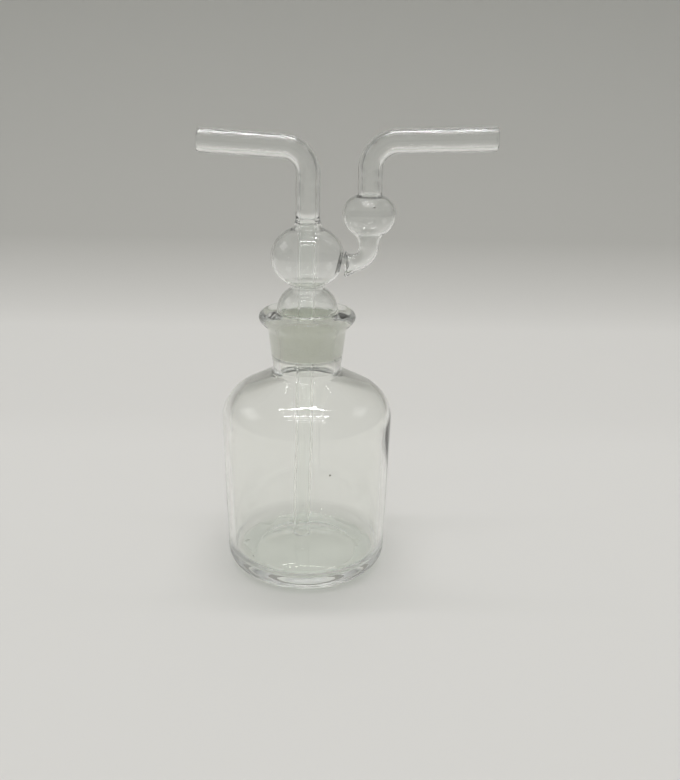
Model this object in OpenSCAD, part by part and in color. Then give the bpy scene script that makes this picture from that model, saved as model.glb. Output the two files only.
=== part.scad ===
// Gas washing bottle, 125 mL: a moulded bottle and the blown head that stands in its ground neck.
//
// Gas comes in through the left arm, goes down the dip tube to the bottle's floor, bubbles up through
// the liquid, rises round the dip tube into the large bulb, and leaves by the side arm, the small
// splash bulb and the right arm. The head is one fused piece of glass. Its ground cone rests in the
// ground socket of the bottle's neck, and it lifts out.
//
// Millimetres, +Z up. The origin is on the bottle's axis, on the surface it stands on. The inlet
// points to -X and the outlet to +X.

/* [Bottle] */
// outside diameter of the body, just under the shoulder
body_d = 60; // [56:0.5:64]
// how much the radius shrinks from the shoulder down to the heel, the mould's draft
body_draft = 1.1; // [0.2:0.1:1.6]
// overall height of the bottle
bottle_h = 94.8; // [86:0.2:104]
// height of the shoulder, from the top of the straight wall to the neck
shoulder_h = 17.2; // [16.4:0.2:18.4]
// radius of the shoulder's round
shoulder_r = 12.4; // [10:0.2:14]
// radius of the heel's round
heel_r = 6; // [4.5:0.5:7.5]
// thickness of the body's wall
body_wall = 2.3; // [1.8:0.1:2.8]
// thickness of the floor near the heel
floor_t = 4.6; // [4:0.2:6]
// diameter of the push-up, the hollow under the floor
push_up_d = 33; // [28:1:38]
// depth of the push-up at its middle
push_up_h = 2.4; // [1.6:0.2:3]

/* [Neck] */
// length of the neck, with the lip
neck_h = 21.2; // [20:0.2:23]
// outside diameter of the neck where it leaves the shoulder
neck_root_d = 23.4; // [22.6:0.1:24.6]
// outside diameter of the neck under the lip
neck_d = 27; // [26:0.1:28]
// outside diameter of the lip
lip_d = 33.4; // [32:0.2:36]
// radius of the lip's rounded edge
lip_r = 1.9; // [1.5:0.1:2.2]

/* [Ground joint] */
// diameter of the cone at the mouth of the bottle
joint_d = 19.4; // [19:0.1:20]
// taper of the joint: one part on the diameter in this many along the axis
taper_ratio = 10; // [8:1:14]
// length of the ground zone
joint_l = 16; // [14:0.5:17]
// how far the cone's wide end stands below the mouth
joint_sink = 0.8; // [0.4:0.1:1.2]
// room between the ground cone and the ground socket, measured on the radius
joint_gap = 0.02; // [0.01:0.01:0.05]

/* [Head] */
// thickness of the blown glass in the bulbs and the dome
blown_wall = 0.8; // [0.7:0.1:1.2]
// thickness of the ground cone's wall
cone_wall = 1.6; // [1.3:0.1:1.9]
// diameter of the dome that stands on the lip
dome_d = 20.8; // [20.4:0.1:21.2]
// diameter of the large bulb
bulb_d = 24.7; // [23.5:0.1:26]
// height of the large bulb's middle above the mouth
bulb_h = 18.8; // [18:0.1:19.6]
// radius of the large bulb's side, as seen from the front
bulb_r = 10; // [9.5:0.1:10.4]
// outside diameter of the inlet and outlet tubes
tube_d = 8; // [7.4:0.1:8.4]
// thickness of their wall
tube_wall = 1.3; // [1:0.1:1.5]
// outside diameter of the dip tube
dip_d = 6.2; // [5.6:0.1:6.4]
// thickness of the dip tube's wall
dip_wall = 0.8; // [0.7:0.1:1]
// height of the dip tube's open end above the table
dip_end_z = 9.1; // [8:0.1:14]
// how far the dip tube leans toward the inlet side, in degrees
dip_lean = 0.9; // [0:0.1:1]
// height above the mouth at which the inlet tube starts to bend over
inlet_h = 46.5; // [43:0.1:52]
// radius of the inlet bend, at the tube's axis
inlet_bend_r = 8.4; // [6.4:0.2:10]
// how far the inlet arm reaches from the bottle's axis
inlet_reach = 35.6; // [28:0.2:46]
// how far the inlet arm rises toward its end, in degrees
inlet_rise = 3.1; // [0:0.1:6]

/* [Side arm] */
// distance from the bottle's axis to the outlet tube's axis
outlet_x = 20.3; // [19.8:0.1:21.2]
// outside diameter of the elbow between the bulbs
elbow_d = 6.4; // [5.8:0.1:7]
// thickness of the elbow's wall
elbow_wall = 1.1; // [0.9:0.1:1.3]
// radius of the elbow at its axis
elbow_r = 5.4; // [4.6:0.1:6]
// height above the mouth at which the elbow turns vertical
elbow_h = 22.6; // [22:0.1:23.2]
// angle at which the elbow leaves the large bulb, above the horizontal
elbow_rise = 15; // [10:1:20]
// diameter to which the elbow flares where it is fused to the large bulb
weld_d = 9; // [8:0.2:10]
// length of that flare
weld_l = 3; // [2.4:0.1:3.4]
// diameter of the small bulb
splash_d = 17.8; // [16.6:0.1:18.4]
// height of the small bulb's widest ring above the mouth
splash_h = 33.6; // [33:0.1:34.4]
// radius of its upper side, as seen from the front
splash_top_r = 6.1; // [5.8:0.1:6.4]
// radius of its lower side, as seen from the front
splash_low_r = 7.7; // [7.2:0.1:8]
// height above the mouth at which the outlet tube starts to bend over
outlet_h = 48; // [44:0.1:53]
// radius of the outlet bend, at the tube's axis
outlet_bend_r = 9; // [6.4:0.2:10]
// how far the outlet arm reaches from the bottle's axis
outlet_reach = 61; // [52:0.2:72]
// how far the outlet arm rises toward its end, in degrees
outlet_rise = 2; // [0:0.1:5]

/* [Hidden] */
$fn = 72;
arc_step = 6;                                // degrees between two points of an outline's round
past = 0.5;                                  // how far a cutter reaches past what it cuts
lap = 0.1;                                   // a straight tube starts this far inside a bend's end,
lap_step = 0.01;                             // and its radius is this much larger there
bottle_tint = [0.80, 0.86, 0.80, 0.40];
head_tint = [0.86, 0.88, 0.88, 0.40];

body_r = body_d / 2;
neck_z = bottle_h - neck_h;                          // the neck leaves the shoulder here
shoulder_z = neck_z - shoulder_h;                    // the wall turns into the shoulder here
heel = [body_r - body_draft - heel_r, heel_r];       // centre of the heel's round
shoulder = [body_r - shoulder_r, shoulder_z];        // centre of the shoulder's round
neck_root = [neck_root_d / 2, neck_z];
root_fillet = 1.6;                                   // round in the corner of shoulder and neck
lip = [lip_d / 2 - lip_r, bottle_h - lip_r];         // centre of the lip's rounded edge
lip_drop = 4.2;                                      // from that centre down to the top of the neck
neck_top = [neck_d / 2, lip[1] - lip_drop];
lip_fillet = 1.2;                                    // round in the corner of neck and lip
mouth_r = 1.2;                                       // round of the socket's mouth
heel_wall = 1;                                       // the inner round is this much smaller than the heel
inner_heel_r = heel_r - heel_wall;
inner_heel = [heel[0] + heel_r - body_wall - inner_heel_r, floor_t + inner_heel_r];
floor_bulge = 0.8 * push_up_h;                       // rise of the floor over the push-up

joint_z = bottle_h - joint_sink;                     // the cone has its full diameter here
joint_end_z = joint_z - joint_l;
cone_r = joint_d / 2;
cone_end_r = cone_r - joint_l / taper_ratio / 2;
bore_step = 0.4;                                     // the neck is this much wider below the ground zone
bore_r = cone_end_r + joint_gap + bore_step;
bore_drop = 1.4;                                     // the neck's inside ends this far below its root
bore_end = [bore_r, neck_z - bore_drop];
bore_round = 3;

dome_rise = 0.6;                                     // widest ring of the dome, above the mouth
dome_z = bottle_h + dome_rise;
dome_side_r = 8.3;                                   // round of its side
dome_edge_r = 1.2;                                   // round of its lower edge
dome = [dome_d / 2 - dome_side_r, dome_z];
waist_fillet = 1;                                    // round in the crease of dome and bulb
bulb_z = bottle_h + bulb_h;
bulb = [bulb_d / 2 - bulb_r, bulb_z];
tube_r = tube_d / 2;
tube_bore_r = tube_r - tube_wall;
collar_step = 1.3;                                   // the bulb's top is this much wider than the tube
collar_r = tube_r + collar_step;
collar_z = side_z(bulb, bulb_r, collar_r);
collar_h = 4.5;
seal_rise = 3;                                       // the dip tube grows out of the collar here
seal_z = collar_z + seal_rise;
seal_t = 0.9;                                        // the collar is solid this far under that
seal_gap = 0.4;                                      // and it stands this far off the dip tube below
dip_r = dip_d / 2;
dip_bore_r = dip_r - dip_wall;
inlet_z = bottle_h + inlet_h;

elbow_tube_r = elbow_d / 2;
elbow_bore_r = elbow_tube_r - elbow_wall;
elbow_z = bottle_h + elbow_h;
splash_z = bottle_h + splash_h;
splash_top = [splash_d / 2 - splash_top_r, splash_z];
splash_low = [splash_d / 2 - splash_low_r, splash_z];
foot_step = 2;                                       // the small bulb's foot is this much wider than
splash_foot_r = elbow_tube_r + foot_step;            // the elbow, and it narrows to it in a flare
outlet_z = bottle_h + outlet_h;

// ---- outlines: the radius runs along X and the height along Y ----

function unit(v) = v / norm(v);
function polar(r, a) = r * [cos(a), sin(a)];
function heading(v) = atan2(v[1], v[0]);

// Height at which the right side of a circle has the radius r from the axis, above its centre or below.
function side_z(centre, circle_r, r, side = 1) =
    centre[1] + side * sqrt(pow(circle_r, 2) - pow(r - centre[0], 2));

// Points of a round stretch from angle a0 to angle a1, its ends included.
function arc(centre, r, a0, a1) =
    let (n = max(1, ceil(abs(a1 - a0) / arc_step)))
    [for (i = [0:n]) centre + polar(r, a0 + (a1 - a0) * i / n)];

// Direction of the normal on the straight line that touches two circles on their right, from the
// lower circle (a, ra) to the upper circle (b, rb).
function tangent_angle(a, ra, b, rb) = heading(b - a) - acos((ra - rb) / norm(b - a));

// The corner p on the way from one point to the next, rounded with radius r.
function rounded(from, p, next, r) =
    let (u = unit(from - p), v = unit(next - p), half = acos(u * v) / 2,
         c = p + unit(u + v) * r / sin(half),
         a0 = heading(p + u * r / tan(half) - c), a1 = heading(p + v * r / tan(half) - c),
         turn = a1 - a0 > 180 ? a1 - a0 - 360 : a1 - a0 < -180 ? a1 - a0 + 360 : a1 - a0)
    arc(c, r, a0, a0 + turn);

// Centre of the circle of radius r that touches circles (a, ra) and (b, rb) from outside, on the right.
function crease_centre(a, ra, b, rb, r) =
    let (d = norm(b - a), u = unit(b - a),
         along = (d * d + pow(ra + r, 2) - pow(rb + r, 2)) / (2 * d))
    a + along * u + sqrt(pow(ra + r, 2) - along * along) * [u[1], -u[0]];

// A trumpet that narrows from r0 at z0 to the straight tube of radius r1 at z1.
function flare(r0, z0, r1, z1) =
    let (r = (pow(r0 - r1, 2) + pow(z1 - z0, 2)) / (2 * (r0 - r1)), c = [r1 + r, z1],
         start = heading([r0, z0] - c))
    arc(c, r, start < 0 ? start + 360 : start, 180);

function reversed(points) = [for (i = [len(points) - 1:-1:0]) points[i]];

// ---- bottle ----

function bottle_outside() =
    let (dish_r = (pow(push_up_d / 2, 2) + pow(push_up_h, 2)) / (2 * push_up_h),
         dish = [0, push_up_h - dish_r],
         wall = tangent_angle(heel, heel_r, shoulder, shoulder_r),
         slope = tangent_angle(shoulder, shoulder_r, neck_root, 0),
         underside = tangent_angle(neck_top, 0, lip, lip_r))
    concat(arc(dish, dish_r, 90, heading([push_up_d / 2, 0] - dish)),
           arc(heel, heel_r, -90, wall),
           arc(shoulder, shoulder_r, wall, slope),
           rounded(shoulder + polar(shoulder_r, slope), neck_root, neck_top, root_fillet),
           rounded(neck_root, neck_top, lip + polar(lip_r, underside), lip_fillet),
           arc(lip, lip_r, underside, 90));

// From the mouth down through the ground socket and along the inside of the shoulder to the floor.
function bottle_inside() =
    let (mouth = cone_r + joint_gap + (bottle_h - mouth_r - joint_z) / taper_ratio / 2,
         inner_r = shoulder_r - body_wall,
         wall = tangent_angle(inner_heel, inner_heel_r, shoulder, inner_r),
         slope = tangent_angle(shoulder, inner_r, bore_end, 0),
         cap_r = (pow(inner_heel[0], 2) + pow(floor_bulge, 2)) / (2 * floor_bulge),
         cap = [0, floor_t + floor_bulge - cap_r])
    concat(arc([mouth + mouth_r, bottle_h - mouth_r], mouth_r, 90, 180),
           [[cone_end_r + joint_gap, joint_end_z], [bore_r, joint_end_z]],
           rounded([bore_r, joint_end_z], bore_end, shoulder + polar(inner_r, slope), bore_round),
           arc(shoulder, inner_r, slope, wall),
           arc(inner_heel, inner_heel_r, wall, -90),
           arc(cap, cap_r, heading([inner_heel[0], floor_t] - cap), 90));

module bottle() {
    color(bottle_tint) rotate_extrude() polygon(concat(bottle_outside(), bottle_inside()));
}

// ---- head ----

// Dome, waist and large bulb, from the widest ring of the dome up to the radius end_r.
function shell_side(thin, end_r) =
    let (r0 = dome_side_r - thin, r1 = bulb_r - thin, r2 = waist_fillet + thin,
         c = crease_centre(dome, r0, bulb, r1, r2),
         a0 = heading(c - dome), a1 = heading(c - bulb))
    concat(arc(dome, r0, 0, a0),
           arc(c, r2, a0 + 180, a1 + 180),
           arc(bulb, r1, a1, heading([end_r, side_z(bulb, r1, end_r)] - bulb)));

// Closed outline of the outer surface: ground cone, dome, bulb, collar and the tube above it.
function shell_outline() =
    let (edge = [dome_d / 2 - dome_edge_r, dome_z])
    concat([[0, joint_end_z], [cone_end_r, joint_end_z], [cone_r, joint_z]],
           arc(edge, dome_edge_r, tangent_angle([cone_r, joint_z], 0, edge, dome_edge_r), 0),
           shell_side(0, collar_r),
           flare(collar_r, collar_z, tube_r, collar_z + collar_h),
           [[tube_r, inlet_z], [0, inlet_z]]);

// Closed outline of the space round the dip tube, up to the seal in the collar.
function shell_space() =
    let (slant = past / taper_ratio / 2, collar_in_r = collar_r - blown_wall)
    concat([[0, joint_end_z - past], [cone_end_r - cone_wall - slant, joint_end_z - past],
            [cone_r - cone_wall, joint_z]],
           shell_side(blown_wall, collar_in_r),
           flare(collar_in_r, side_z(bulb, bulb_r - blown_wall, collar_in_r),
                 dip_r + seal_gap, seal_z - seal_t),
           [[0, seal_z - seal_t]]);

// Closed outline of the small bulb with the straight tubes under and over it.
function splash_outline(thin, low_r, top_r) =
    let (foot_r = splash_foot_r - thin, r0 = splash_low_r - thin, r1 = splash_top_r - thin,
         foot_z = side_z(splash_low, r0, foot_r, -1),
         head_z = side_z(splash_top, r1, top_r))
    concat([[0, elbow_z]],
           reversed(flare(foot_r, foot_z, low_r, elbow_z)),
           arc(splash_low, r0, heading([foot_r, foot_z] - splash_low), 0),
           arc(splash_top, r1, 0, heading([top_r, head_z] - splash_top)),
           [[top_r, outlet_z], [0, outlet_z]]);

// The bend of a rising tube and the arm that follows it, from the height z on, toward +X.
module arm(r, z, bend_r, rise, reach, past = 0) {
    turn = 90 - rise;
    arm_l = (reach - bend_r * (1 - cos(turn))) / cos(rise);
    translate([bend_r, 0, z]) {
        rotate([90, 0, 180]) rotate_extrude(angle = turn) translate([bend_r, 0]) circle(r);
        rotate([0, turn, 0]) translate([-bend_r, 0, -lap])
            cylinder(r = r + lap_step, h = arm_l + lap + past);
    }
}

module inlet_arm(r, past = 0) {
    rotate([0, 0, 180]) arm(r, inlet_z, inlet_bend_r, inlet_rise, inlet_reach, past);
}

module outlet_arm(r, past = 0) {
    translate([outlet_x, 0, 0])
        arm(r, outlet_z, outlet_bend_r, outlet_rise, outlet_reach - outlet_x, past);
}

// The elbow's bend and its straight end, which reaches into the large bulb.
module elbow(r, weld_r) {
    straight = (outlet_x - elbow_r * (1 - sin(elbow_rise)) - bulb[0] - bulb_r / 2) / cos(elbow_rise);
    weld_end = straight - bulb_r / 2 + blown_wall / 2;
    translate([outlet_x - elbow_r, 0, elbow_z]) {
        rotate([-90, 0, 0]) rotate_extrude(angle = 90 - elbow_rise) translate([elbow_r, 0]) circle(r);
        rotate([0, 90 - elbow_rise, 0]) translate([elbow_r, 0, 0]) rotate([180, 0, 0])
            rotate_extrude() polygon(concat([[0, straight], [0, -lap], [r + lap_step, -lap]],
                reversed(flare(weld_r, weld_end, r + lap_step, weld_end - weld_l)),
                [[weld_r, straight]]));
    }
}

module dip_tube(r, z0, z1) {
    translate([0, 0, seal_z]) rotate([0, dip_lean, 0]) translate([0, 0, z0 - seal_z])
        cylinder(r = r, h = z1 - z0);
}

module washing_head() {
    color(head_tint)
    difference() {
        union() {
            difference() {
                union() {
                    rotate_extrude() polygon(shell_outline());
                    translate([outlet_x, 0, 0]) rotate_extrude()
                        polygon(splash_outline(0, elbow_tube_r, tube_r));
                    inlet_arm(tube_r);
                    outlet_arm(tube_r);
                    elbow(elbow_tube_r, weld_d / 2);
                }
                rotate_extrude() polygon(shell_space());
                translate([outlet_x, 0, 0]) rotate_extrude()
                    polygon(splash_outline(blown_wall, elbow_bore_r, tube_bore_r));
                outlet_arm(tube_bore_r, past);
                elbow(elbow_bore_r, weld_d / 2 - blown_wall);
            }
            dip_tube(dip_r, dip_end_z, seal_z);
        }
        dip_tube(dip_bore_r, dip_end_z - past, seal_z + past);
        translate([0, 0, seal_z]) cylinder(r = tube_bore_r, h = inlet_z - seal_z);
        inlet_arm(tube_bore_r, past);
    }
}

bottle();
washing_head();
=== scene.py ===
import bmesh
import bpy
import numpy as np
from mathutils import Matrix, Vector


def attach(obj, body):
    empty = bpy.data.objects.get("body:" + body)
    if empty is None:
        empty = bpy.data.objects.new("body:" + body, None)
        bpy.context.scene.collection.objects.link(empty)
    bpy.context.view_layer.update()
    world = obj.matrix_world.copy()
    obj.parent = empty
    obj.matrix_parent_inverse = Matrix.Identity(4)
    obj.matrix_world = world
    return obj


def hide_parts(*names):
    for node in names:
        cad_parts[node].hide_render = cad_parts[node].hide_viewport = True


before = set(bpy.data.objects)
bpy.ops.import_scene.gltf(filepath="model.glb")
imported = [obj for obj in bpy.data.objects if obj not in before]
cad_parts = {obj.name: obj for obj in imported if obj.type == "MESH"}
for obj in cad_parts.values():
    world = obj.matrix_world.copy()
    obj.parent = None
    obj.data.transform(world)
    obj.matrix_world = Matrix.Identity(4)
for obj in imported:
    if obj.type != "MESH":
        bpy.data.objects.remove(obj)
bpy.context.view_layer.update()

# ======== Bottle ========
# The bottle is one piece of soda-lime glass, blown in a mould: thick at the floor and the heel,
# with a flared and fire-polished lip. The socket in its neck is ground matt to seat the head's cone.
# It stands on a scuffed ring round its push-up, and its wall came out uneven at the shoulder.

# Sizes of the glass are in millimetres. A point of a profile is its radius, then its height.
MM = 0.001
mouth_z, mouth_round = 94.8, 1.2
lip, lip_r = np.array([14.8, 92.9]), 1.9
neck_top, neck_top_round = np.array([13.5, 88.7]), 1.6
neck_root, neck_root_round = np.array([11.7, 73.6]), 1.8
shoulder, shoulder_r = np.array([17.6, 56.4]), 12.4
heel, heel_r = np.array([22.9, 6.0]), 6.0
standing_ring = np.array([[19.0, 0.15], [20.5, 0.08]])
worn_from_r, worn_below_z = 17.5, 1.5
push_up_edge, push_up_h = np.array([17.6, 0.45]), 2.4

wall = 2.3
bore_end, bore_end_round = np.array([9.3, 71.7]), 1.5
inner_heel, inner_heel_r = np.array([21.6, 9.6]), 5.0
floor_z, floor_bulge = 4.6, 1.9
uneven, uneven_z, uneven_reach = 0.6, 61.0, 11.0

joint_top_z, joint_r = 94.0, 9.7
joint_end_z, joint_end_r = 79.2, 8.96
ground_top_z = 93.3
joint_gap = 0.02
socket_step_h = 0.5

bottle_columns = 128
bottle_row, mouth_row = 0.5, 0.3
outside_melt, inside_melt = 0.45, 0.6

# The finishes are numbered in the order of the piece's materials.
CLEAR, GROUND, WORN = range(3)


def polar(radius, angle):
    """Point or points at a distance from the origin: radius times (cos, sin) of angles in degrees."""
    angle = np.radians(angle)
    return np.stack([radius * np.cos(angle), radius * np.sin(angle)], axis=-1)


def heading(v):
    """Angle of a vector in degrees."""
    return np.degrees(np.arctan2(v[1], v[0]))


def arc(centre, radius, start, end, step=3.0):
    """A circle's stretch: centre plus radius times (cos, sin) of evenly spaced angles."""
    count = max(2, int(np.ceil(abs(end - start) / step)) + 1)
    return centre + polar(radius, np.linspace(start, end, count))


def tangent(low, low_r, high, high_r):
    """Angle of the normal on the straight line that touches two circles on their right.

    It is the heading from one centre to the other, less acos((low_r - high_r) / distance).
    """
    d = high - low
    return heading(d) - np.degrees(np.arccos((low_r - high_r) / np.hypot(*d)))


def rounded(before, corner, after, radius):
    """A corner between two straight lines, replaced by the arc that touches both of them.

    The arc's centre is on the bisector of the corner, at radius / sin(half the corner's angle).
    """
    u = (before - corner) / np.hypot(*(before - corner))
    v = (after - corner) / np.hypot(*(after - corner))
    half = np.arccos(u @ v) / 2
    centre = corner + (u + v) / np.hypot(*(u + v)) * radius / np.sin(half)
    start = heading(corner + u * radius / np.tan(half) - centre)
    turn = heading(corner + v * radius / np.tan(half) - centre) - start
    return arc(centre, radius, start, start + (turn + 180) % 360 - 180)


def dome_over(edge, top_z):
    """Centre and radius of the circle through an edge point and a top point on the axis."""
    rise = top_z - edge[1]
    radius = (edge[0]**2 + rise**2) / (2 * rise)
    return np.array([0, top_z - radius]), radius


def length_along(points):
    """Distance run along a polyline at each of its points."""
    return np.concatenate([[0], np.cumsum(np.hypot(*np.diff(points, axis=0).T))])


def even(points, step):
    """The same polyline with its points at equal steps along it."""
    run = length_along(points)
    at = np.linspace(0, run[-1], max(3, int(run[-1] / step) + 1))
    return np.stack([np.interp(at, run, points[:, k]) for k in range(2)], axis=-1)


def melted(points, width):
    """Each point moved to the weighted mean of its neighbours, as flame rounds an edge.

    A neighbour's weight is its length times exp(-(distance / width)^2 / 2). The width narrows
    toward the two ends, which stay in place.
    """
    run = length_along(points)
    reach = np.minimum(run, run[-1] - run)
    spread = np.minimum(width, reach / 3 + 1e-6)[:, None]
    weight = np.exp(-0.5 * ((run[None, :] - run[:, None]) / spread) ** 2)
    weight *= np.gradient(run)[None, :]
    return weight @ points / weight.sum(axis=1, keepdims=True)


def around(columns):
    """A row of evenly spaced angles round a ring, in radians."""
    return np.radians(np.arange(columns) * 360 / columns)[None, :]


def rings(radius, angle, centre_x, centre_z, lean):
    """Grid of points: a ring of each row's radius stands across the centre line.

    A ring's point is centre + radius * (cos a * (cos h, 0, -sin h) + sin a * (0, 1, 0)), where a
    is the angle around and h, the lean, is the centre line's heading from +Z toward +X.
    """
    x = centre_x + radius * np.cos(angle) * np.cos(lean)
    y = radius * np.sin(angle)
    z = centre_z - radius * np.cos(angle) * np.sin(lean)
    return np.stack(np.broadcast_arrays(x, y, z), axis=-1)


def grid_quads(rows, columns, first=0, close_rows=False):
    """Corner numbers of the quads between neighbouring rows and columns, closed around."""
    row = np.arange(rows if close_rows else rows - 1)[:, None]
    column = np.arange(columns)[None, :]
    up, on = (row + 1) % rows, (column + 1) % columns
    quads = np.stack([row * columns + column, row * columns + on,
                      up * columns + on, up * columns + column], axis=-1)
    return quads.reshape(-1, 4) + first


def glass_piece(name, points, quads, finish, materials):
    """A closed smooth mesh from points in millimetres, with the number of each quad's finish.

    Points of no quad are left out. Points in one place become one, which closes the poles.
    """
    used, corners = np.unique(quads, return_inverse=True)
    mesh = bpy.data.meshes.new(name)
    mesh.from_pydata(points.reshape(-1, 3)[used] * MM, [], corners.reshape(quads.shape).tolist())
    for material in materials:
        mesh.materials.append(material)
    mesh.polygons.foreach_set("material_index", finish.astype(np.int32))
    work = bmesh.new()
    work.from_mesh(mesh)
    bmesh.ops.remove_doubles(work, verts=work.verts, dist=1e-7)
    bmesh.ops.recalc_face_normals(work, faces=work.faces)
    work.to_mesh(mesh)
    work.free()
    mesh.shade_smooth()
    piece = bpy.data.objects.new(name, mesh)
    bpy.context.collection.objects.link(piece)
    return piece


# The outside runs from the push-up's middle out to the heel, and up to the top of the lip.
push_up, push_up_r = dome_over(push_up_edge, push_up_h)
wall_angle = tangent(heel, heel_r, shoulder, shoulder_r)
slope_angle = tangent(shoulder, shoulder_r, neck_root, 0)
underside_angle = tangent(neck_top, 0, lip, lip_r)
slope_end = shoulder + polar(shoulder_r, slope_angle)
lip_start = lip + polar(lip_r, underside_angle)
bottle_outside = np.concatenate([
    arc(push_up, push_up_r, 90, heading(push_up_edge - push_up), step=1.0),
    standing_ring,
    arc(heel, heel_r, -90, wall_angle),
    arc(shoulder, shoulder_r, wall_angle, slope_angle),
    rounded(slope_end, neck_root, neck_top, neck_root_round),
    rounded(neck_root, neck_top, lip_start, neck_top_round),
    arc(lip, lip_r, underside_angle, 90)])

# The inside runs from the mouth down through the ground socket to the middle of the floor.
mouth_r, socket_end_r = joint_r + joint_gap, joint_end_r + joint_gap
inner_shoulder_r = shoulder_r - wall
inner_wall_angle = tangent(inner_heel, inner_heel_r, shoulder, inner_shoulder_r)
inner_slope_angle = tangent(shoulder, inner_shoulder_r, bore_end, 0)
inner_slope_end = shoulder + polar(inner_shoulder_r, inner_slope_angle)
floor_edge = np.array([inner_heel[0], floor_z])
bulge, bulge_r = dome_over(floor_edge, floor_z + floor_bulge)
bottle_mouth = np.concatenate([
    arc(np.array([mouth_r + mouth_round, mouth_z - mouth_round]), mouth_round, 90, 180),
    [[mouth_r, ground_top_z]]])
bottle_socket = np.array([[mouth_r, ground_top_z], [socket_end_r, joint_end_z]])
bottle_inside = np.concatenate([
    [[socket_end_r, joint_end_z], [bore_end[0], joint_end_z - socket_step_h]],
    rounded(np.array([bore_end[0], joint_end_z]), bore_end, inner_slope_end, bore_end_round),
    arc(shoulder, inner_shoulder_r, inner_slope_angle, inner_wall_angle),
    arc(inner_heel, inner_heel_r, inner_wall_angle, -90),
    arc(bulge, bulge_r, heading(floor_edge - bulge), 90, step=1.0)])

# The rows lie at even steps, and both ends of the profile are on the axis.
outside_part = melted(even(bottle_outside, bottle_row), outside_melt)
mouth_part = even(bottle_mouth, mouth_row)
socket_part = even(bottle_socket, bottle_row)
inside_part = melted(even(bottle_inside, bottle_row), inside_melt)
outside_part[0, 0] = inside_part[-1, 0] = 0
bottle_profile = np.concatenate([outside_part, mouth_part[1:], socket_part[1:], inside_part[1:]])
bottle_r, bottle_z = bottle_profile[:, :1], bottle_profile[:, 1:]
bottle_points = rings(bottle_r, around(bottle_columns), 0, bottle_z, 0)

# At the shoulder the wall's inner side stands off toward +X, by a bell curve of the height.
inside_first = len(bottle_profile) - len(inside_part) + 1
off_middle = (bottle_z[inside_first:] - uneven_z) / uneven_reach
bottle_points[inside_first:, :, 0] += uneven * np.exp(-off_middle**2)

bottle_finish = np.full(len(bottle_profile) - 1, CLEAR)
socket_first = len(outside_part) + len(mouth_part) - 2
bottle_finish[socket_first:socket_first + len(socket_part) - 1] = GROUND
worn_rows = (bottle_r[:-1, 0] > worn_from_r) & (bottle_z[:-1, 0] < worn_below_z)
bottle_finish[worn_rows] = WORN


def wear_group():
    """Node group: hard little specks, about one per cell, and soft cloudy patches, both from 0 to 1.

    A speck is where the way to the cell's point is shorter than the speck's size, in a share of the
    cells. A patch fades in between two values of a slow noise.
    """
    speck_share, patch_start, patch_full = 0.45, 0.45, 0.7
    group = bpy.data.node_groups.new("glass_wear", "ShaderNodeTree")
    for name in ("Specks per Metre", "Speck Size", "Patches per Metre"):
        group.interface.new_socket(name, in_out="INPUT", socket_type="NodeSocketFloat")
    for name in ("Specks", "Patches"):
        group.interface.new_socket(name, in_out="OUTPUT", socket_type="NodeSocketFloat")
    nodes, links = group.nodes, group.links
    given, out = nodes.new("NodeGroupInput"), nodes.new("NodeGroupOutput")
    place = nodes.new("ShaderNodeTexCoord")

    cells = nodes.new("ShaderNodeTexVoronoi")
    chance = nodes.new("ShaderNodeSeparateColor")
    near, kept, both = (nodes.new("ShaderNodeMath") for _ in range(3))
    near.operation, kept.operation, both.operation = "LESS_THAN", "GREATER_THAN", "MULTIPLY"
    kept.inputs[1].default_value = 1 - speck_share
    links.new(place.outputs["Object"], cells.inputs["Vector"])
    links.new(given.outputs["Specks per Metre"], cells.inputs["Scale"])
    links.new(cells.outputs["Distance"], near.inputs[0])
    links.new(given.outputs["Speck Size"], near.inputs[1])
    links.new(cells.outputs["Color"], chance.inputs["Color"])
    links.new(chance.outputs["Red"], kept.inputs[0])
    links.new(near.outputs["Value"], both.inputs[0])
    links.new(kept.outputs["Value"], both.inputs[1])
    links.new(both.outputs["Value"], out.inputs["Specks"])

    cloud = nodes.new("ShaderNodeTexNoise")
    cloud.inputs["Detail"].default_value = 4.0
    spread = nodes.new("ShaderNodeMapRange")
    spread.inputs["From Min"].default_value = patch_start
    spread.inputs["From Max"].default_value = patch_full
    links.new(place.outputs["Object"], cloud.inputs["Vector"])
    links.new(given.outputs["Patches per Metre"], cloud.inputs["Scale"])
    links.new(cloud.outputs["Fac"], spread.inputs["Value"])
    links.new(spread.outputs["Result"], out.inputs["Patches"])
    return group


wear = wear_group()
dust = (0.12, 0.1, 0.08)
graze_start, graze_share = 0.5, 0.55


def shaded(colour, share=1.0):
    """A share of a colour, with full alpha."""
    return tuple(share * c for c in colour) + (1,)


def by_slant(tree, start, face_on, edge_on):
    """Colour that runs from face_on to edge_on as the surface turns away, from the slant start to 1."""
    slant = tree.nodes.new("ShaderNodeLayerWeight")
    slant.inputs["Blend"].default_value = 0.5
    ramp = tree.nodes.new("ShaderNodeValToRGB")
    ramp.color_ramp.elements[0].position = start
    ramp.color_ramp.elements[0].color = face_on
    ramp.color_ramp.elements[1].color = edge_on
    tree.links.new(slant.outputs["Facing"], ramp.inputs["Fac"])
    return ramp.outputs["Color"]


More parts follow.
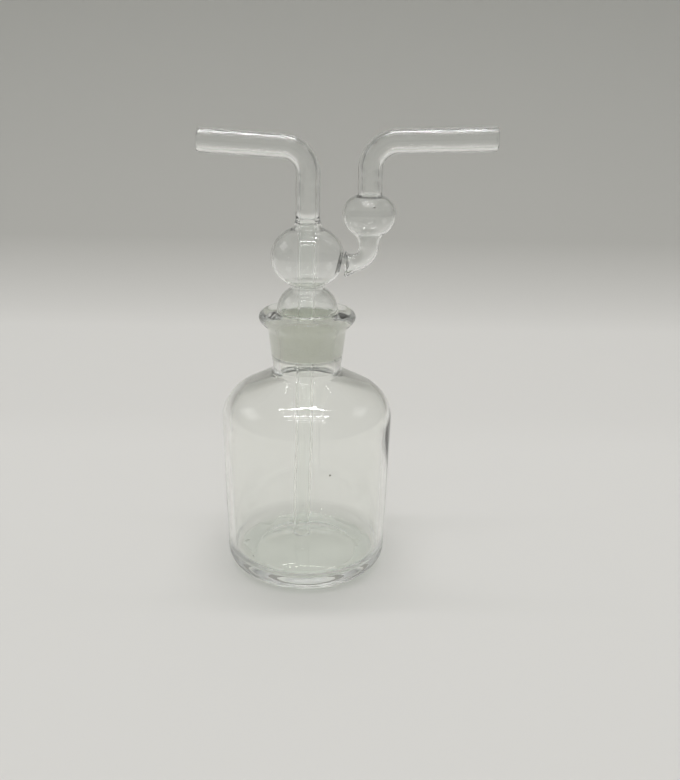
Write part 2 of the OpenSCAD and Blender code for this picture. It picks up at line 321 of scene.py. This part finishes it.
def glass(name, tint, matt, shade, edge=None, ior=1.5, clear=1.0,
          speck=dust, specks=(80.0, 0.03), patches=60.0):
    """Glass that bends light, with specks on it, and cloudy patches between two roughnesses, matt.

    Where edge is given, painted shade darkens the glass's colour as it turns from the view, standing in
    for the dark lines at its edges: its two values are the cosine between the normal and the view at
    which that starts, and the share of the tint left at the very edge.
    Light to or from the floor goes straight through, dimmed by the shade, and more where it grazes.
    """
    material = bpy.data.materials.new(name)
    material.use_nodes = True
    tree = material.node_tree
    nodes, links = tree.nodes, tree.links
    body = nodes["Principled BSDF"]
    body.inputs["IOR"].default_value = ior
    body.inputs["Transmission Weight"].default_value = clear

    marks = nodes.new("ShaderNodeGroup")
    marks.node_tree = wear
    marks.inputs["Specks per Metre"].default_value, marks.inputs["Speck Size"].default_value = specks
    marks.inputs["Patches per Metre"].default_value = patches
    finish = nodes.new("ShaderNodeMapRange")
    finish.inputs["To Min"].default_value, finish.inputs["To Max"].default_value = matt
    links.new(marks.outputs["Patches"], finish.inputs["Value"])
    links.new(finish.outputs["Result"], body.inputs["Roughness"])

    colour = nodes.new("ShaderNodeMix")
    colour.data_type = "RGBA"
    colour.inputs["A"].default_value = shaded(tint)
    colour.inputs["B"].default_value = shaded(speck)
    # painted edge shade: the tint darkens toward the silhouette, where the surface turns from the view
    if edge:
        cosine, share = edge
        links.new(by_slant(tree, 1 - cosine, shaded(tint), shaded(tint, share)), colour.inputs["A"])
    links.new(marks.outputs["Specks"], colour.inputs["Factor"])
    links.new(colour.outputs["Result"], body.inputs["Base Color"])

    path = nodes.new("ShaderNodeLightPath")
    through = nodes.new("ShaderNodeBsdfTransparent")
    loss = by_slant(tree, graze_start, shaded(shade), shaded(shade, graze_share))
    links.new(loss, through.inputs["Color"])
    last = body.outputs["BSDF"]
    for ray in ("Is Diffuse Ray", "Is Shadow Ray"):
        mix = nodes.new("ShaderNodeMixShader")
        links.new(path.outputs[ray], mix.inputs["Fac"])
        links.new(last, mix.inputs[1])
        links.new(through.outputs["BSDF"], mix.inputs[2])
        last = mix.outputs["Shader"]
    links.new(last, nodes["Material Output"].inputs["Surface"])
    return material


def ground_glass(name):
    """Glass ground matt with grit: about half of the light scatters on it, and its grain shows."""
    return glass(name, tint=(0.88, 0.885, 0.80), matt=(0.6, 0.85), shade=(0.85, 0.87, 0.85), clear=0.55,
                 speck=(0.80, 0.81, 0.73), specks=(2500.0, 0.4), patches=300.0)


bottle_clear = glass("bottle_clear_glass", tint=(0.985, 0.992, 0.975), matt=(0.0, 0.03),
                     shade=(0.965, 0.975, 0.965))
bottle_ground = ground_glass("bottle_ground_glass")
bottle_worn = glass("bottle_worn_glass", tint=(0.97, 0.985, 0.95), matt=(0.25, 0.45),
                    shade=(0.9, 0.92, 0.9))
bottle = glass_piece("bottle_glass", bottle_points, grid_quads(len(bottle_profile), bottle_columns),
                     np.repeat(bottle_finish, bottle_columns), [bottle_clear, bottle_ground, bottle_worn])
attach(bottle, "root")
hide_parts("bottle")

# ======== Washing head ========
# The head is one piece of lamp-blown glass: a hollow ground cone, a dome and a large bulb, with the
# inlet tube running on as the dip tube inside, and the elbow, small bulb and outlet tube fused to
# the large bulb's side. Its tubes are bent by hand and its open ends are melted round.

# A point of the head's profile is its radius, then its station along the centre line. Up to the
# inlet's bend the station is the height.
cone_wall, cone_round = 1.6, 0.6
blown_wall = 0.7
dome, dome_r, dome_edge_r = np.array([2.1, 95.4]), 8.3, 1.2
waist_r = 1.0
bulb, bulb_r = np.array([2.35, 113.6]), 10.0
collar_r, collar_h = 5.3, 4.5
tube_r, tube_bore = 4.0, 2.7
inlet_bend_z, inlet_bend_r, inlet_turn, inlet_arm = 141.3, 8.4, -86.9, 27.7
seal_z, throat_above, throat_below = 126.2, 1.5, 1.0
gap, gap_top_z, gap_round = 0.5, 125.2, 0.2
dip_r, dip_bore = 3.1, 2.3
dip_end_z, dip_lean = 9.1, 0.9
ripple_depth, ripple_onset = 0.03, 3.0

head_columns = 96
cone_row, shell_row, tube_row, bore_row, dip_row = 0.5, 0.35, 0.8, 1.0, 1.2
shell_melt, space_melt = 0.25, 0.3
CLEAR, GROUND, TUBE, DIP = range(4)


def side_height(centre, radius, r, side=1):
    """Height at which a circle's right half is at radius r from the axis; side -1 is its lower half."""
    return centre[1] + side * np.sqrt(radius**2 - (r - centre[0])**2)


def crease(a, ra, b, rb, r):
    """Centre of the circle of radius r that touches two circles from outside, on the right.

    It is the third corner of the triangle on a and b whose other two sides are ra + r and rb + r.
    """
    d = np.hypot(*(b - a))
    u = (b - a) / d
    along = (d * d + (ra + r)**2 - (rb + r)**2) / (2 * d)
    return a + along * u + np.sqrt((ra + r)**2 - along**2) * np.array([u[1], -u[0]])


def flare(wide, narrow):
    """The arc that leaves the point wide and runs out straight along the axis at narrow.

    With the step across and the rise along the axis its radius is (step^2 + rise^2) / (2 step).
    """
    step, rise = abs(wide[0] - narrow[0]), narrow[1] - wide[1]
    r = (step**2 + rise**2) / (2 * step)
    centre = np.array([narrow[0] + r, narrow[1]])
    return arc(centre, r, heading(wide - centre) % 360, 180)


def half_round(inner, outer, z, start, end, step=20.0):
    """Half a circle between a wall's two radii, as its edge rounds when the glass melts."""
    return arc(np.array([(inner + outer) / 2, z]), (outer - inner) / 2, start, end, step)


def shell_side(thin, end_r):
    """Dome, waist and large bulb, this far inside the outer surface, up to the radius end_r."""
    r0, r1, r2 = dome_r - thin, bulb_r - thin, waist_r + thin
    c = crease(dome, r0, bulb, r1, r2)
    top = np.array([end_r, side_height(bulb, r1, end_r)])
    return np.concatenate([arc(dome, r0, 0, heading(c - dome)),
                           arc(c, r2, heading(c - dome) + 180, heading(c - bulb) + 180),
                           arc(bulb, r1, heading(c - bulb), heading(top - bulb))])


def centre_line(start, start_heading, straights, bends):
    """Station, place and heading along a line of straights and bends, as a function of distance.

    The heading runs from +Z toward +X and grows evenly through each bend; the place is the running
    sum of (sin heading, cos heading). The line runs on past its end by a spare length.
    """
    step, spare = 0.02, 5
    marks, headings = [0.0], [start_heading]
    for straight, (radius, turn) in zip(straights, bends + [(0, 0)]):
        marks += [marks[-1] + straight]
        headings += [headings[-1]]
        marks += [marks[-1] + abs(np.radians(turn)) * radius]
        headings += [headings[-1] + turn]
    s = np.arange(0, marks[-1] + spare, step)
    h = np.radians(np.interp(s, marks, headings))
    halfway = (h[1:] + h[:-1]) / 2
    x = start[0] + np.concatenate([[0], np.cumsum(np.sin(halfway)) * step])
    z = start[1] + np.concatenate([[0], np.cumsum(np.cos(halfway)) * step])
    return s, x, z, h


def carried(profile, line, angle, drawn_from, sideways=0.0):
    """The profile's rings, carried along a centre line by their station.

    Past the station drawn_from the tube's radius ripples as hand-drawn glass does: it gains
    ripple_depth * (sin(0.9 s) + sin(1.7 s + 2 a) / 2) at the station s and the angle a.
    """
    s, x, z, h = line
    at = profile[:, 1:]
    ripple = np.sin(0.9 * at) + np.sin(1.7 * at + 2 * angle) / 2
    radius = profile[:, :1] + ripple_depth * ripple * np.clip((at - drawn_from) / ripple_onset, 0, 1)
    return rings(radius, angle, np.interp(at, s, x) + sideways, np.interp(at, s, z), np.interp(at, s, h))


# The head's profile is one closed loop: up the cone, over the bulb and along the inlet tube, back
# down its bore to the dip tube's tip, up outside the dip tube to the seal, and down in the shell.
inlet_end = inlet_bend_z + np.radians(-inlet_turn) * inlet_bend_r + inlet_arm
tube_round, dip_round = (tube_r - tube_bore) / 2, (dip_r - dip_bore) / 2
taper = (joint_r - joint_end_r) / (joint_top_z - joint_end_z)
ground_top = np.array([joint_r - taper * (joint_top_z - ground_top_z), ground_top_z])
cone_top = np.array([joint_r, joint_top_z])
cone_outside = np.array([[joint_end_r, joint_end_z + cone_round], ground_top])
dome_edge = np.array([dome[0] + dome_r - dome_edge_r, dome[1]])
collar_z = side_height(bulb, bulb_r, collar_r)
collar_top = np.array([tube_r, collar_z + collar_h])
shell_outside = np.concatenate([
    [ground_top, cone_top],
    arc(dome_edge, dome_edge_r, tangent(cone_top, 0, dome_edge, dome_edge_r), 0),
    shell_side(0, collar_r),
    flare(np.array([collar_r, collar_z]), collar_top)])
tube_outside = np.array([collar_top, [tube_r, inlet_end - tube_round]])
tube_inside = np.array([
    [tube_bore, inlet_end - tube_round], [tube_bore, seal_z + throat_above],
    [dip_bore, seal_z - throat_below], [dip_bore, dip_end_z + dip_round]])
dip_outside = np.array([[dip_r, dip_end_z + dip_round], [dip_r, gap_top_z - gap_round]])
collar_in_r = collar_r - blown_wall
collar_in = np.array([collar_in_r, side_height(bulb, bulb_r - blown_wall, collar_in_r)])
shell_inside = np.concatenate([
    half_round(dip_r, dip_r + gap, gap_top_z - gap_round, 180, 0),
    flare(collar_in, np.array([dip_r + gap, gap_top_z]))[::-1],
    shell_side(blown_wall, collar_in_r)[::-1],
    [[joint_r - cone_wall, joint_top_z], [joint_end_r - cone_wall, joint_end_z + cone_wall / 2]]])
inlet_rim = half_round(tube_bore, tube_r, inlet_end - tube_round, 0, 180, step=15.0)
dip_rim = half_round(dip_bore, dip_r, dip_end_z + dip_round, 180, 360)
cone_rim = half_round(joint_end_r - cone_wall, joint_end_r, joint_end_z + cone_wall / 2, 180, 360)

parts = [
    ("cone", even(cone_outside, cone_row), GROUND),
    ("shell", melted(even(shell_outside, shell_row), shell_melt), CLEAR),
    ("tube", even(tube_outside, tube_row), TUBE),
    ("inlet end", inlet_rim, CLEAR),
    ("bore", even(tube_inside, bore_row), TUBE),
    ("tip", dip_rim, DIP),
    ("dip", even(dip_outside, dip_row), DIP),
    ("space", melted(even(shell_inside, shell_row), space_melt), CLEAR),
    ("cone end", cone_rim, CLEAR)]
head_profile = np.concatenate([points[:-1] for _, points, _ in parts])
part_ends = np.cumsum([len(points) - 1 for _, points, _ in parts])
part_rows = {name: (end - len(points) + 1, end) for (name, points, _), end in zip(parts, part_ends)}
head_finish = np.concatenate([np.full(len(points) - 1, finish) for _, points, finish in parts])
head_finish[(head_finish == TUBE) & (head_profile[:, 1] < seal_z)] = DIP

# The dip tube and its bore lean toward -X below the seal.
main_line = centre_line((0.0, 0.0), 0.0, [inlet_bend_z, inlet_arm], [(inlet_bend_r, inlet_turn)])
leaning = np.zeros((len(head_profile), 1))
leaning[part_rows["bore"][0]:part_rows["dip"][1]] = 1
below_seal = np.clip(seal_z - head_profile[:, 1:], 0, None) * leaning
sideways = -np.tan(np.radians(dip_lean)) * below_seal
head_points = carried(head_profile, main_line, around(head_columns), collar_top[1], sideways)
head_quads = grid_quads(len(head_profile), head_columns, close_rows=True)

# The side arm: elbow, small bulb, outlet tube. It is fused over a hole in the large bulb's wall, so
# a block of the bulb's quads gives way to a patch that runs from the block's edge to the arm's foot.

# Headings are in degrees from +Z toward +X, and stations run along the arm from its start.
arm_start = np.array([11.9, 111.5])
foot_heading, foot_bend_r, arm_heading = 100.0, 6.0, 75.0
elbow_r, elbow_bore, elbow_straight, elbow_bend_r = 3.05, 2.2, 1.9, 5.4
bead_h, inner_bead_h = 1.25, 0.5
bead_share, bead_station = np.array([1.0, 0.8, 0.3, 0.0]), np.array([0.8, 1.5, 2.4, 3.4])
elbow_even_to = 6.5
riser_z, riser, riser_r = 117.4, 25.4, 3.5
splash_neck_z, splash_foot_r, splash_z = 118.2, 5.2, 128.4
splash_low, splash_low_r = np.array([1.2, splash_z]), 7.7
splash_top, splash_top_r = np.array([2.8, splash_z]), 6.1
outlet_bend_r, outlet_turn, outlet_arm = 9.0, 88.0, 32.0

# The block has this many columns to each side of its middle, and this many rows in all.
block_columns, block_rows, patch_rows = 9, 30, 5
outer_foot_z, outer_foot_r, outer_hollow = 111.4, 4.9, 0.95
inner_foot_z, inner_foot_r, inner_hollow = 111.3, 3.2, 0.9
outer_fillet_rows, inner_fillet_rows, fillet_handle = 6, 4, 0.5

# The ripple, the tube's finish and the coarser rows begin this far along from the riser's start.
drawn_above, tube_above, coarse_above = 17.0, 17.4, 20.0
arm_row, arm_melt, arm_inside_melt = 0.4, 0.25, 0.35

arm_line = centre_line(arm_start, foot_heading, [0.0, elbow_straight, riser, outlet_arm],
                       [(foot_bend_r, arm_heading - foot_heading), (elbow_bend_r, -arm_heading),
                        (outlet_bend_r, outlet_turn)])
foot_length = np.radians(foot_heading - arm_heading) * foot_bend_r
riser_start = foot_length + elbow_straight + np.radians(arm_heading) * elbow_bend_r
outlet_end = riser_start + riser + np.radians(outlet_turn) * outlet_bend_r + outlet_arm

# Added to a radius and a height on the riser, this gives the radius and the station.
to_station = np.array([0, riser_start - riser_z])


def arm_side(thin, elbow, bead, neck, tube):
    """The arm's profile, this far inside its outer surface, as radius and station.

    A bead at the weld, the elbow, a flare from the neck, the small bulb's two halves and the tube.
    """
    r0, r1 = splash_low_r - thin, splash_top_r - thin
    foot = np.array([splash_foot_r - thin, side_height(splash_low, r0, splash_foot_r - thin, side=-1)])
    top = np.array([tube, side_height(splash_top, r1, tube)])
    upside_down = np.array([1, -1])
    under_bulb = flare(foot * upside_down, np.array([neck, splash_neck_z]) * upside_down) * upside_down
    return np.concatenate([
        np.stack([elbow + bead * bead_share, bead_station], axis=-1),
        [[elbow, elbow_even_to], [neck, riser_start]],
        under_bulb[::-1] + to_station,
        arc(splash_low, r0, heading(foot - splash_low), 0) + to_station,
        arc(splash_top, r1, 0, heading(top - splash_top)) + to_station,
        [[tube, outlet_end - tube_round]]])


def arm_rows(profile):
    """Finer rows through the elbow and the small bulb, coarser ones along the plain tube."""
    split = np.argmax(profile[:, 1] > riser_start + coarse_above)
    return np.concatenate([even(profile[:split], arm_row), even(profile[split - 1:], tube_row)[1:]])


def arm_rings(profile, turn):
    """Rings along the arm whose points keep the angles of the foot that they grow out of."""
    return carried(profile, arm_line, (turn - np.pi / 2)[None, :], riser_start + drawn_above)


def block_start(part, middle_z):
    """First row of the block whose middle row lies nearest to a height on the bulb's wide side."""
    first, last = part_rows[part]
    r, z = head_profile[first:last].T
    middle = first + np.argmin(np.where(r < 0.7 * bulb_r, np.inf, np.abs(z - middle_z)))
    return middle - block_rows // 2


def block_edge(first_row):
    """Grid row and column of each point on the edge of a block centred on column 0, in order."""
    last_row = first_row + block_rows
    c, r = np.arange(-block_columns, block_columns), np.arange(first_row, last_row)
    row = np.concatenate([np.full(len(c), first_row), r, np.full(len(c), last_row), r[::-1] + 1])
    column = np.concatenate([c, np.full(len(r), block_columns), -c, np.full(len(r), -block_columns)])
    return row, column


def on_turned(profile, run, middle, across, along):
    """Points on the surface that a profile turns, this far across and along from its front middle.

    The angle around is the distance across divided by the surface's radius at the middle.
    """
    r, z = (np.interp(middle + along, run, profile[:, k]) for k in range(2))
    phi = across / np.interp(middle, run, profile[:, 0])
    return np.stack([r * np.cos(phi), r * np.sin(phi), z], axis=-1)


def foot_patch(part, block_first, radius, hollow):
    """Rows of a patch on the bulb's surface, from the block's edge to the arm's round foot.

    Each row moves evenly, across and along the surface, from the edge to the foot's circle. It also
    gives the foot's angles and a circle hollow times as wide, which the fillet is drawn toward.
    """
    first, last = part_rows[part]
    profile, first_row = head_profile[first:last], block_first - first
    row, column = block_edge(first_row)
    up = 1 if profile[first_row + 1, 1] > profile[first_row, 1] else -1
    if up < 0:    # inside the shell the profile runs downward and meets the edge's rows in reverse
        row = 2 * first_row + block_rows - row
    run = length_along(profile)
    middle = run[first_row + block_rows // 2]
    across = np.radians(column * 360 / head_columns) * np.interp(middle, run, profile[:, 0])
    along = run[row] - middle
    turn = np.arctan2(along * up, across)
    foot_across, foot_along = radius * np.cos(turn), radius * np.sin(turn) * up
    t = np.linspace(0, 1, patch_rows)[:, None]
    patch = on_turned(profile, run, middle, (1 - t) * across + t * foot_across,
                      (1 - t) * along + t * foot_along)
    return turn, patch, on_turned(profile, run, middle, hollow * foot_across, hollow * foot_along)


def bezier(a, b, c, d, steps):
    """Rows of the cubic curve from a to d with the handles b and c, ends left out."""
    t = np.linspace(0, 1, steps + 2)[1:-1, None, None]
    return (1 - t)**3 * a + 3 * (1 - t)**2 * t * b + 3 * (1 - t) * t**2 * c + t**3 * d


def joined(patch, hollow, tube, steps):
    """The patch, the fillet from the foot up the arm, and the arm's rings."""
    along = tube[1] - tube[0]
    along /= np.linalg.norm(along, axis=-1, keepdims=True)
    fillet = bezier(patch[-1], hollow, tube[0] - along * fillet_handle, tube[0], steps)
    return np.concatenate([patch, fillet, tube])


arm_outside = melted(arm_rows(arm_side(0, elbow_r, bead_h, riser_r, tube_r)), arm_melt)
arm_inside = melted(arm_rows(arm_side(blown_wall, elbow_bore, inner_bead_h, riser_r - blown_wall,
                                      tube_bore)), arm_inside_melt)
outlet_rim = half_round(tube_bore, tube_r, outlet_end - tube_round, 0, 180, step=15.0)[1:-1]

outer_first, inner_first = block_start("shell", outer_foot_z), block_start("space", inner_foot_z)
turn, outer_patch, outer_circle = foot_patch("shell", outer_first, outer_foot_r, outer_hollow)
_, inner_patch, inner_circle = foot_patch("space", inner_first, inner_foot_r, inner_hollow)
outer_rows = joined(outer_patch, outer_circle, arm_rings(arm_outside, turn), outer_fillet_rows)
inner_rows = joined(inner_patch, inner_circle, arm_rings(arm_inside, turn), inner_fillet_rows)
arm_points = np.concatenate([outer_rows, arm_rings(outlet_rim, turn), inner_rows[::-1]])

quad_row = np.arange(len(head_quads)) // head_columns
quad_column = (np.arange(len(head_quads)) + head_columns // 2) % head_columns - head_columns // 2
in_columns = (quad_column >= -block_columns) & (quad_column < block_columns)
in_outer = (quad_row >= outer_first) & (quad_row < outer_first + block_rows)
in_inner = (quad_row >= inner_first) & (quad_row < inner_first + block_rows)
kept = ~(in_columns & (in_outer | in_inner))

# The weld, the elbow, the small bulb and the melted end of the arm are clear; the rest is tube.
arm_station = np.concatenate([
    np.zeros(len(outer_rows) - len(arm_outside)), arm_outside[:, 1], np.zeros(len(outlet_rim)),
    arm_inside[::-1, 1], np.zeros(len(inner_rows) - len(arm_inside))])
arm_finish = np.where(arm_station > riser_start + tube_above, TUBE, CLEAR)[:-1]

arm_columns = arm_points.shape[1]
arm_quads = grid_quads(len(arm_points), arm_columns, first=len(head_profile) * head_columns)
all_points = np.concatenate([head_points.reshape(-1, 3), arm_points.reshape(-1, 3)])
all_quads = np.concatenate([head_quads[kept], arm_quads])
all_finish = np.concatenate([head_finish[quad_row][kept], np.repeat(arm_finish, arm_columns)])

head_look = {"tint": (0.985, 0.992, 0.985), "matt": (0.0, 0.03), "shade": (0.97, 0.975, 0.97)}
# The head's clear glass and its tubes carry painted edge shade for the dark lines along their rims.
head_clear = glass("head_clear_glass", **head_look, edge=(0.2, 0.4))
head_ground = ground_glass("head_ground_glass")
tube_clear = glass("tube_clear_glass", **head_look, edge=(0.45, 0.0))
dip_clear = glass("dip_tube_glass", **head_look, ior=1.35)
head = glass_piece("washing_head_glass", all_points, all_quads, all_finish,
                   [head_clear, head_ground, tube_clear, dip_clear])
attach(head, "root")
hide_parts("washing_head")

# ======== Floor and backdrop ========
# A pale sheet of painted board lies a hair below the bottle and sweeps up behind it into a wall,
# where painted shade makes it a darker grey. Its sizes are in metres: y back from the bottle, and z up.

board_front, board_back, sweep_r, wall_top = -2.5, 0.33, 0.35, 0.9
board_half_width, board_below = 0.9, 5e-5
# The floor keeps its pale paint; the darker stops are painted shade on the wall, where shade falls.
board_colours_and_wall_shade = {0.0: (0.66, 0.65, 0.625), 0.3: (0.66, 0.65, 0.625),
                 0.5: (0.41, 0.405, 0.38), 1.0: (0.385, 0.385, 0.36)}

board_line = np.concatenate([
    [[board_front, 0.0], [board_back, 0.0]],
    np.array([board_back, sweep_r]) + polar(sweep_r, np.linspace(-90, 0, 40)),
    [[board_back + sweep_r, wall_top]]]) - [0, board_below]
board_points = np.concatenate([np.insert(board_line, 0, x, axis=1)
                               for x in (-board_half_width, board_half_width)])
left = np.arange(len(board_line) - 1)
right = left + len(board_line)
board_quads = np.stack([right, right + 1, left + 1, left], axis=-1)
board_mesh = bpy.data.meshes.new("board")
board_mesh.from_pydata(board_points, [], board_quads.tolist())
board_mesh.shade_smooth()
board = bpy.data.objects.new("board", board_mesh)
bpy.context.collection.objects.link(board)


def coloured_by(tree, value, colours, target):
    """The target takes the colours of a table by the value; the table's keys are the ramp's stops."""
    ramp = tree.nodes.new("ShaderNodeValToRGB")
    for _ in range(len(colours) - 2):
        ramp.color_ramp.elements.new(0.5)
    for stop, (position, colour) in zip(ramp.color_ramp.elements, colours.items()):
        stop.position, stop.color = position, shaded(colour)
    tree.links.new(value, ramp.inputs["Fac"])
    tree.links.new(ramp.outputs["Color"], target)


# The board's colour goes by the way back plus the way up: pale paint on the floor, painted shade up the
# wall.
board_paint_and_wall_shade = bpy.data.materials.new("board_paint_and_wall_shade")
board_paint_and_wall_shade.use_nodes = True
tree = board_paint_and_wall_shade.node_tree
paint = tree.nodes["Principled BSDF"]
paint.inputs["Roughness"].default_value = 0.9
place = tree.nodes.new("ShaderNodeTexCoord")
axes = tree.nodes.new("ShaderNodeSeparateXYZ")
way = tree.nodes.new("ShaderNodeMath")
way.operation = "ADD"
tree.links.new(place.outputs["Object"], axes.inputs["Vector"])
tree.links.new(axes.outputs["Y"], way.inputs[0])
tree.links.new(axes.outputs["Z"], way.inputs[1])
coloured_by(tree, way.outputs["Value"], board_colours_and_wall_shade, paint.inputs["Base Color"])
board_mesh.materials.append(board_paint_and_wall_shade)

# ======== Light ========
# Long ceiling tubes hang across the bench, one in front of the other, and a soft pane stands on
# each side. The room round them is a plain grey that is darker to the left and the right.

room_colours = {0.45: (0.38, 0.38, 0.375), 0.9: (0.26, 0.26, 0.255)}
tube_height, tube_size, tube_aim = 1.9, (1.4, 0.04), 0.3

# A tube is given by its y and its power, and faces the floor at tube_aim times that y. A pane is
# given by its place, its size and its power.
ceiling_tubes = {"tube_0": (-0.85, 3), "tube_1": (-0.3, 10.5), "tube_2": (0.385, 11), "tube_3": (1.3, 2)}
panes = {"window_left": ((-2.0, 0.4, 1.25), (1.1, 0.8), 2.5),
         "window_right": ((1.5, 0.5, 1.5), (0.8, 0.6), 1.2)}
pane_aim = (0, 0, 0.1)

world = bpy.data.worlds.new("studio")
bpy.context.scene.world = world
world.use_nodes = True
room = world.node_tree
backing = room.nodes["Background"]
backing.inputs["Strength"].default_value = 1.0
look = room.nodes.new("ShaderNodeTexCoord")
look_axes = room.nodes.new("ShaderNodeSeparateXYZ")
to_side = room.nodes.new("ShaderNodeMath")
to_side.operation = "ABSOLUTE"
room.links.new(look.outputs["Generated"], look_axes.inputs["Vector"])
room.links.new(look_axes.outputs["X"], to_side.inputs[0])
coloured_by(room, to_side.outputs["Value"], room_colours, backing.inputs["Color"])


def area_light(name, place, aim, size, power):
    """A rectangular lamp at a place in metres, facing a point, with its power in watts."""
    lamp = bpy.data.lights.new(name, "AREA")
    lamp.shape = "RECTANGLE"
    lamp.size, lamp.size_y = size
    lamp.energy = power
    holder = bpy.data.objects.new(name, lamp)
    bpy.context.collection.objects.link(holder)
    holder.location = place
    holder.rotation_euler = (Vector(aim) - Vector(place)).to_track_quat("-Z", "Y").to_euler()


for name, (y, power) in ceiling_tubes.items():
    area_light(name, (0.0, y, tube_height), (0, tube_aim * y, 0), tube_size, power)
for name, (place, size, power) in panes.items():
    area_light(name, place, pane_aim, size, power)

# ======== Camera ========
# The camera stands in front of the bottle and looks down on it, a hair off level. Light passes
# through many walls of glass on its way to it, so the render lets it bounce often.

camera_place = np.array([0.00726, -0.3, 0.177678])
yaw, pitch, roll = np.radians([0.847, -20.405, 1.04])
picture_width, focal_length = 680, 903.567    # both in pixels
sensor_width = 36.0                           # in millimetres
glass_bounces, mirror_bounces = 32, 16

forward = np.array([np.sin(yaw) * np.cos(pitch), np.cos(yaw) * np.cos(pitch), np.sin(pitch)])
level = np.array([np.cos(yaw), -np.sin(yaw), 0])
above = np.cross(level, forward)
side = np.cos(roll) * level + np.sin(roll) * above
top = -np.sin(roll) * level + np.cos(roll) * above
pose = np.eye(4)
pose[:3] = np.stack([side, top, -forward, camera_place], axis=-1)
camera_data = bpy.data.cameras.new("camera")
camera_data.sensor_fit = "HORIZONTAL"
camera_data.sensor_width = sensor_width
camera_data.lens = focal_length / picture_width * sensor_width
camera_data.clip_start = 0.01
camera = bpy.data.objects.new("camera", camera_data)
bpy.context.collection.objects.link(camera)
camera.matrix_world = Matrix(pose.tolist())

scene = bpy.context.scene
scene.camera = camera
scene.view_settings.view_transform = "Standard"
scene.cycles.max_bounces = glass_bounces
scene.cycles.transmission_bounces = glass_bounces
scene.cycles.transparent_max_bounces = glass_bounces
scene.cycles.glossy_bounces = mirror_bounces
